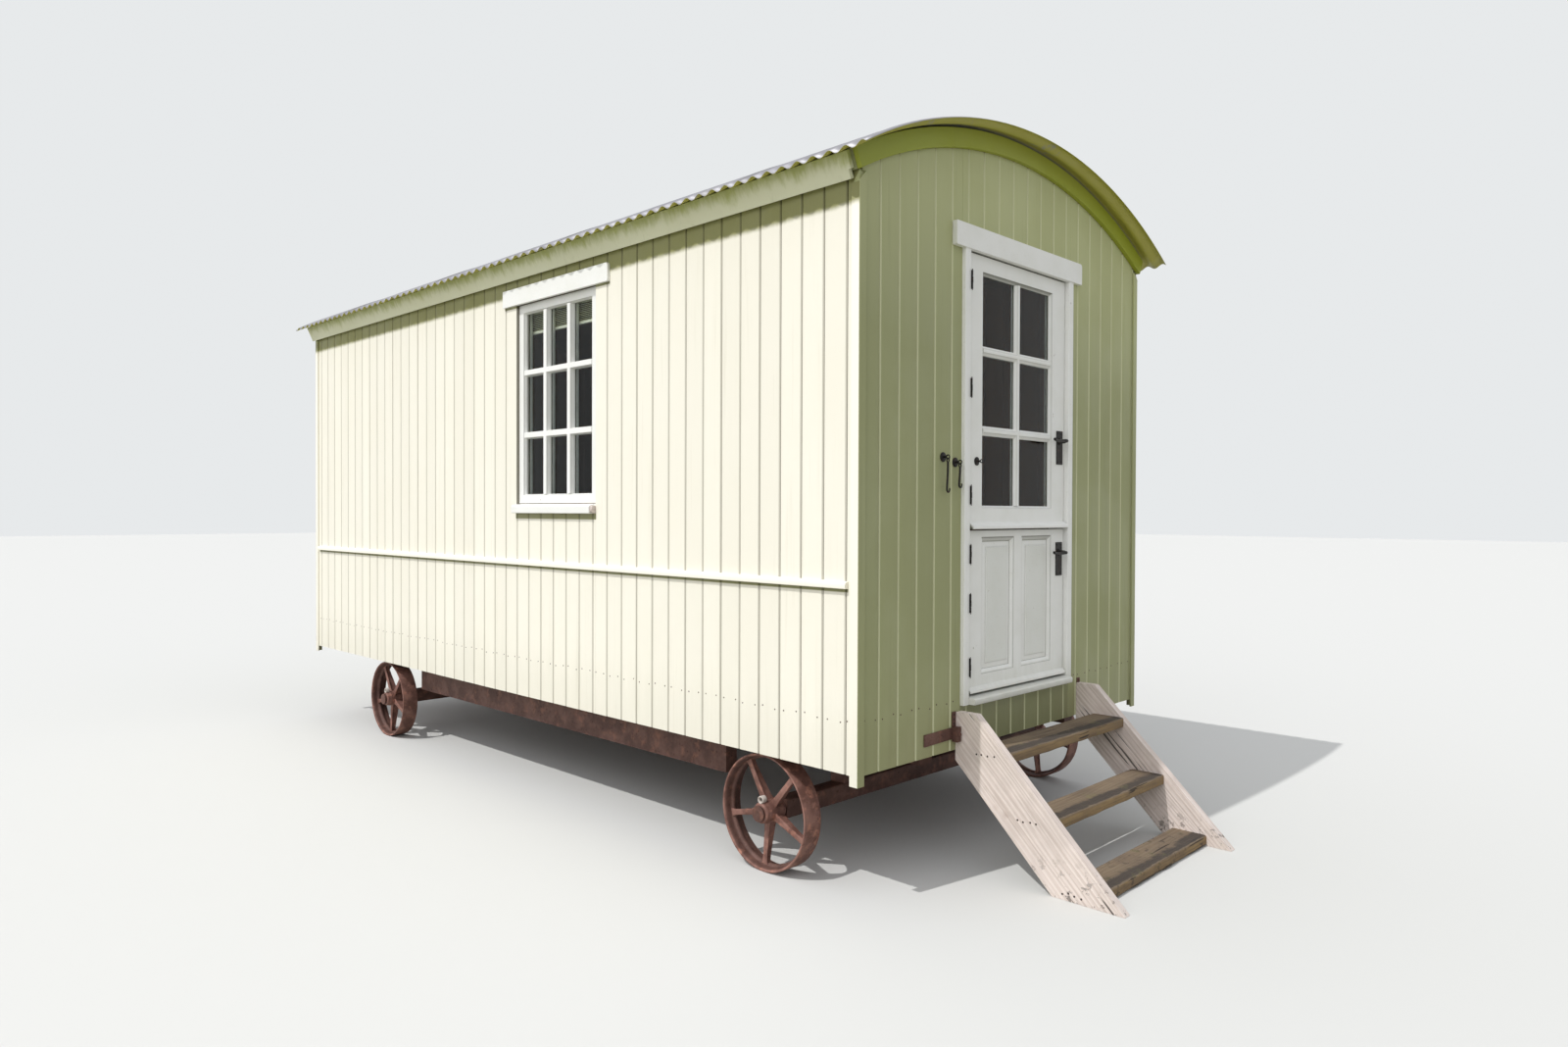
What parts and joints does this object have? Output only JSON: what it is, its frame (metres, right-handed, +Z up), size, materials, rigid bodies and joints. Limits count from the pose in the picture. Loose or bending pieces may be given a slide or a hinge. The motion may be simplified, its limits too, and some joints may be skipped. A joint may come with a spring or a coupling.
{
  "type": "shepherds hut",
  "caption": "Shepherd's hut with boarded walls, an arched corrugated roof, a glazed stable door, side windows, spoked cast wheels and open wooden steps",
  "frame": {"origin": "middle of the overall width and length, on the ground", "axes": "+Z is up, the door wall faces -Y, the hut's length runs along Y, and +X is the right side seen from the door end's outside"},
  "size_m": [2.334, 5.699, 2.964],
  "materials": {
    "cream_boards": "cream paint on tongued boards",
    "sage_boards": "sage paint on boards",
    "white_paint": "white gloss paint on joinery",
    "black_iron": "black japanned iron",
    "rusty_iron": "rusted iron",
    "zinc_sheet": "weathered galvanised sheet",
    "bare_timber": "bare softwood",
    "step_timber": "weathered timber",
    "clear_glass": "clear window glass"
  },
  "bodies": {
    "hut": {"floor": "bare_timber", "chassis_rails": "rusty_iron", "side_rails": "rusty_iron", "axle_blocks": "rusty_iron", "axle_front": "rusty_iron", "axle_rear": "rusty_iron", "left_wall_front": "cream_boards", "left_wall_rear": "cream_boards", "left_wall_under": "cream_boards", "left_wall_over": "cream_boards", "right_wall_front": "cream_boards", "right_wall_rear": "cream_boards", "right_wall_under": "cream_boards", "right_wall_over": "cream_boards", "front_wall_left": "sage_boards", "front_wall_right": "sage_boards", "front_wall_under": "sage_boards", "front_wall_over": "sage_boards", "rear_wall": "sage_boards", "corner_trims": "cream_boards", "drip_rails": "cream_boards", "eaves_boards": "sage_boards", "friezes": "sage_boards", "roof_deck": "bare_timber", "roof_sheet": "zinc_sheet", "sash_left": "white_paint", "sash_right": "white_paint", "window_glass": "clear_glass", "head_boards": "white_paint", "window_sills": "white_paint", "door_jambs": "white_paint", "door_head": "white_paint", "door_threshold": "white_paint", "door_stops": "white_paint", "hinges": "black_iron", "strings": "step_timber", "tread_1": "step_timber", "tread_2": "step_timber", "tread_3": "step_timber"},
    "lower_leaf": {"door_lower": "white_paint", "handle_lower": "black_iron", "hinges_lower": "black_iron"},
    "upper_leaf": {"door_upper": "white_paint", "door_glass": "clear_glass", "handle_upper": "black_iron", "hinges_upper": "black_iron"},
    "wheel_front_left_body": {"wheel_front_left": "rusty_iron"},
    "wheel_front_right_body": {"wheel_front_right": "rusty_iron"},
    "wheel_rear_left_body": {"wheel_rear_left": "rusty_iron"},
    "wheel_rear_right_body": {"wheel_rear_right": "rusty_iron"}
  },
  "joints": [
    {"name": "lower_leaf_swing", "type": "hinge", "parent": "hut", "child": "lower_leaf", "pos_m": [-0.4015, -2.1635, 0.999], "axis": [0, 0, -1], "range_deg": [0, 105]},
    {"name": "upper_leaf_swing", "type": "hinge", "parent": "hut", "child": "upper_leaf", "pos_m": [-0.4015, -2.1635, 1.883], "axis": [0, 0, -1], "range_deg": [0, 105]},
    {"name": "front_left_roll", "type": "hinge", "parent": "hut", "child": "wheel_front_left_body", "pos_m": [-0.994, -1.6365, 0.2285], "axis": [1, 0, 0], "continuous": true},
    {"name": "front_right_roll", "type": "hinge", "parent": "hut", "child": "wheel_front_right_body", "pos_m": [0.994, -1.6365, 0.2285], "axis": [1, 0, 0], "continuous": true},
    {"name": "rear_left_roll", "type": "hinge", "parent": "hut", "child": "wheel_rear_left_body", "pos_m": [-0.994, 1.7035, 0.2285], "axis": [1, 0, 0], "continuous": true},
    {"name": "rear_right_roll", "type": "hinge", "parent": "hut", "child": "wheel_rear_right_body", "pos_m": [0.994, 1.7035, 0.2285], "axis": [1, 0, 0], "continuous": true}
  ]
}
